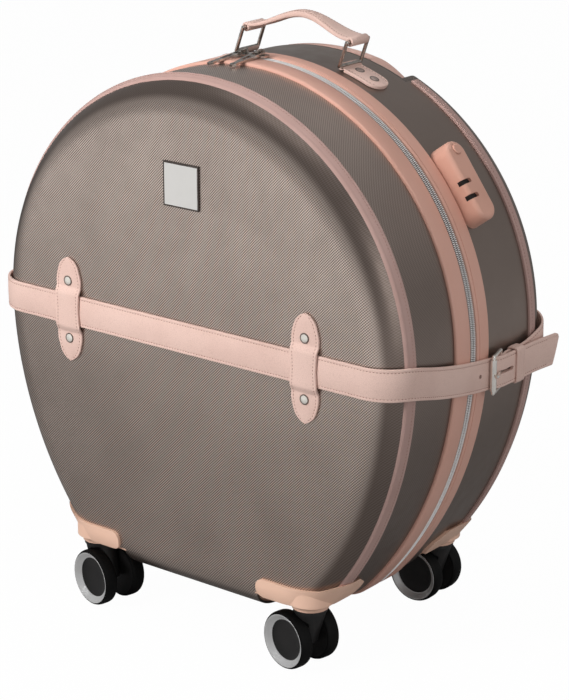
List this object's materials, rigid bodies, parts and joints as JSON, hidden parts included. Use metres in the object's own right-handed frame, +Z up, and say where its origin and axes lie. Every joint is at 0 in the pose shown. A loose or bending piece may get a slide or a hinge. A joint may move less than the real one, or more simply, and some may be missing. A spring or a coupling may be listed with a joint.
{
  "type": "round hard-shell suitcase",
  "caption": "Round drum-shaped hard-shell suitcase with zip, buckled leather belt, carry handle, telescopic trolley, combination lock and twin-wheel swivel casters.",
  "frame": {"origin": "on the floor, under the middle of the case, in the plane of the zip", "axes": "+Z up, +Y from the front face to the back, +X to the lock and buckle side"},
  "size_m": [0.4987, 0.2578, 0.5796],
  "materials": {
    "shell": "embossed weave",
    "lining": "woven",
    "moulding": "satin",
    "zip": "toothed",
    "leather": "stitched",
    "nickel": "polished",
    "black_plastic": "satin",
    "wheel": "smooth with dished silver ring",
    "tube": "anodised",
    "label": "bare"
  },
  "bodies": {
    "rear_half": {"belt_keeper": "leather", "buckle_frame": "nickel", "caster_housing_rl": "moulding", "caster_housing_rr": "moulding", "handle_rivets": "nickel", "handle_tab_left": "leather", "handle_tab_right": "leather", "hinge_tape": "lining", "lock_axle": "nickel", "lock_housing": "moulding", "rear_belt": "leather", "rear_lining": "lining", "rear_piping_left": "leather", "rear_piping_right": "leather", "rear_shell": "shell", "rear_zip_band": "moulding", "rear_zip_tape": "zip", "trolley_base": "black_plastic", "trolley_cup": "shell", "trolley_outer_tubes": "tube"},
    "front_half": {"belt_tail": "leather", "caster_housing_fl": "moulding", "caster_housing_fr": "moulding", "front_belt": "leather", "front_lining": "lining", "front_piping": "leather", "front_shell": "shell", "front_zip_band": "moulding", "front_zip_tape": "zip", "label_frame": "black_plastic", "label_plate": "label", "loop_plate_left": "leather", "loop_plate_right": "leather", "plate_rivets": "nickel"},
    "trolley_mid": {"trolley_mid_tubes": "tube"},
    "trolley_inner": {"trolley_inner_tubes": "tube", "trolley_grip": "moulding"},
    "trolley_button": {"trolley_button": "moulding"},
    "lock_dial_1": {"lock_dial_1": "black_plastic"},
    "lock_dial_2": {"lock_dial_2": "black_plastic"},
    "lock_dial_3": {"lock_dial_3": "black_plastic"},
    "lock_button": {"lock_button": "nickel"},
    "handle_ring_left": {"handle_ring_left": "nickel"},
    "handle_ring_right": {"handle_ring_right": "nickel"},
    "handle_grip": {"handle_grip": "leather"},
    "buckle_roller": {"buckle_roller": "nickel"},
    "buckle_prong": {"buckle_prong": "nickel"},
    "zip_slider_1": {"zip_slider_1": "nickel"},
    "zip_slider_2": {"zip_slider_2": "nickel"},
    "zip_pull_1": {"zip_pull_1": "nickel"},
    "zip_pull_2": {"zip_pull_2": "nickel"},
    "fork_fl": {"caster_fork_fl": "black_plastic"},
    "wheels_fl": {"caster_wheels_fl": "wheel"},
    "fork_fr": {"caster_fork_fr": "black_plastic"},
    "wheels_fr": {"caster_wheels_fr": "wheel"},
    "fork_rl": {"caster_fork_rl": "black_plastic"},
    "wheels_rl": {"caster_wheels_rl": "wheel"},
    "fork_rr": {"caster_fork_rr": "black_plastic"},
    "wheels_rr": {"caster_wheels_rr": "wheel"}
  },
  "joints": [
    {"name": "lid_hinge", "type": "hinge", "parent": "rear_half", "child": "front_half", "pos_m": [-0.2446, 0, 0.3015], "axis": [0, 0, -1], "range_deg": [0, 180], "deforming": ["belt_tail", "hinge_tape"]},
    {"name": "trolley_lower_slide", "type": "slide", "parent": "rear_half", "child": "trolley_mid", "axis": [0, 0, 1], "range_m": [0, 0.23]},
    {"name": "trolley_upper_slide", "type": "slide", "parent": "trolley_mid", "child": "trolley_inner", "axis": [0, 0, 1], "range_m": [0, 0.23]},
    {"name": "trolley_button_press", "type": "slide", "parent": "trolley_inner", "child": "trolley_button", "axis": [0, 0, -1], "range_m": [0, 0.0025], "stiffness_N_per_m": 500, "springref_m": -0.003},
    {"name": "lock_dial_1_turn", "type": "hinge", "parent": "rear_half", "child": "lock_dial_1", "pos_m": [0.19644, 0.0474, 0.45288], "axis": [0.5878, 0, -0.809], "continuous": true},
    {"name": "lock_dial_2_turn", "type": "hinge", "parent": "rear_half", "child": "lock_dial_2", "pos_m": [0.20496, 0.0474, 0.44114], "axis": [0.5878, 0, -0.809], "continuous": true},
    {"name": "lock_dial_3_turn", "type": "hinge", "parent": "rear_half", "child": "lock_dial_3", "pos_m": [0.21349, 0.0474, 0.42941], "axis": [0.5878, 0, -0.809], "continuous": true},
    {"name": "lock_button_press", "type": "slide", "parent": "rear_half", "child": "lock_button", "axis": [-0.809, 0, -0.5878], "range_m": [0, 0.0016], "stiffness_N_per_m": 300, "springref_m": -0.002},
    {"name": "handle_left_swing", "type": "hinge", "parent": "rear_half", "child": "handle_ring_left", "pos_m": [-0.061, 0.0515, 0.53548], "axis": [0, 1, 0], "range_deg": [-80, 40]},
    {"name": "handle_right_swing", "type": "hinge", "parent": "rear_half", "child": "handle_ring_right", "pos_m": [0.061, 0.0515, 0.53548], "axis": [0, 1, 0], "range_deg": [-80, 40]},
    {"name": "handle_grip_swing", "type": "hinge", "parent": "handle_ring_left", "child": "handle_grip", "pos_m": [-0.05262, 0.0515, 0.5585], "axis": [0, 1, 0], "range_deg": [-40, 80]},
    {"name": "buckle_roller_spin", "type": "hinge", "parent": "rear_half", "child": "buckle_roller", "pos_m": [0.2482, 0.02, 0.2795], "axis": [0, 0, 1], "continuous": true},
    {"name": "buckle_prong_lift", "type": "hinge", "parent": "rear_half", "child": "buckle_prong", "pos_m": [0.2417, 0.041, 0.2795], "axis": [0, 0, 1], "range_deg": [0, 100], "deforming": ["belt_tail"]},
    {"name": "zip_slider_1_run", "type": "hinge", "parent": "rear_half", "child": "zip_slider_1", "pos_m": [0, 0, 0.3015], "axis": [0, -1, 0], "range_deg": [0, 74]},
    {"name": "zip_pull_1_flip", "type": "hinge", "parent": "zip_slider_1", "child": "zip_pull_1", "pos_m": [-0.02385, 0, 0.54473], "axis": [-0.9769, 0.1908, -0.0958], "range_deg": [0, 165]},
    {"name": "zip_slider_2_run", "type": "hinge", "parent": "rear_half", "child": "zip_slider_2", "pos_m": [0, 0, 0.3015], "axis": [0, 1, 0], "range_deg": [0, 84]},
    {"name": "zip_pull_2_flip", "type": "hinge", "parent": "zip_slider_2", "child": "zip_pull_2", "pos_m": [-0.00427, 0, 0.54586], "axis": [-0.9998, 0, -0.0175], "range_deg": [0, 165]},
    {"name": "caster_fl_swivel", "type": "hinge", "parent": "front_half", "child": "fork_fl", "pos_m": [-0.1305, -0.096, 0.0613], "axis": [0, 0, 1], "continuous": true},
    {"name": "caster_fl_roll", "type": "hinge", "parent": "fork_fl", "child": "wheels_fl", "pos_m": [-0.11825, -0.09849, 0.028], "axis": [-0.1994, -0.9799, 0], "continuous": true},
    {"name": "caster_fr_swivel", "type": "hinge", "parent": "front_half", "child": "fork_fr", "pos_m": [0.1305, -0.096, 0.0613], "axis": [0, 0, 1], "continuous": true},
    {"name": "caster_fr_roll", "type": "hinge", "parent": "fork_fr", "child": "wheels_fr", "pos_m": [0.11821, -0.09372, 0.028], "axis": [0.1822, 0.9833, 0], "continuous": true},
    {"name": "caster_rl_swivel", "type": "hinge", "parent": "rear_half", "child": "fork_rl", "pos_m": [-0.134, 0.104, 0.0613], "axis": [0, 0, 1], "continuous": true},
    {"name": "caster_rl_roll", "type": "hinge", "parent": "fork_rl", "child": "wheels_rl", "pos_m": [-0.12267, 0.09872, 0.028], "axis": [-0.4226, -0.9063, 0], "continuous": true},
    {"name": "caster_rr_swivel", "type": "hinge", "parent": "rear_half", "child": "fork_rr", "pos_m": [0.134, 0.104, 0.0613], "axis": [0, 0, 1], "continuous": true},
    {"name": "caster_rr_roll", "type": "hinge", "parent": "fork_rr", "child": "wheels_rr", "pos_m": [0.1215, 0.104, 0.028], "axis": [0, 1, 0], "continuous": true}
  ],
  "couplings": [
    {"joint": "handle_right_swing", "follows": "handle_left_swing", "ratio": 1},
    {"joint": "handle_grip_swing", "follows": "handle_left_swing", "ratio": -1}
  ]
}
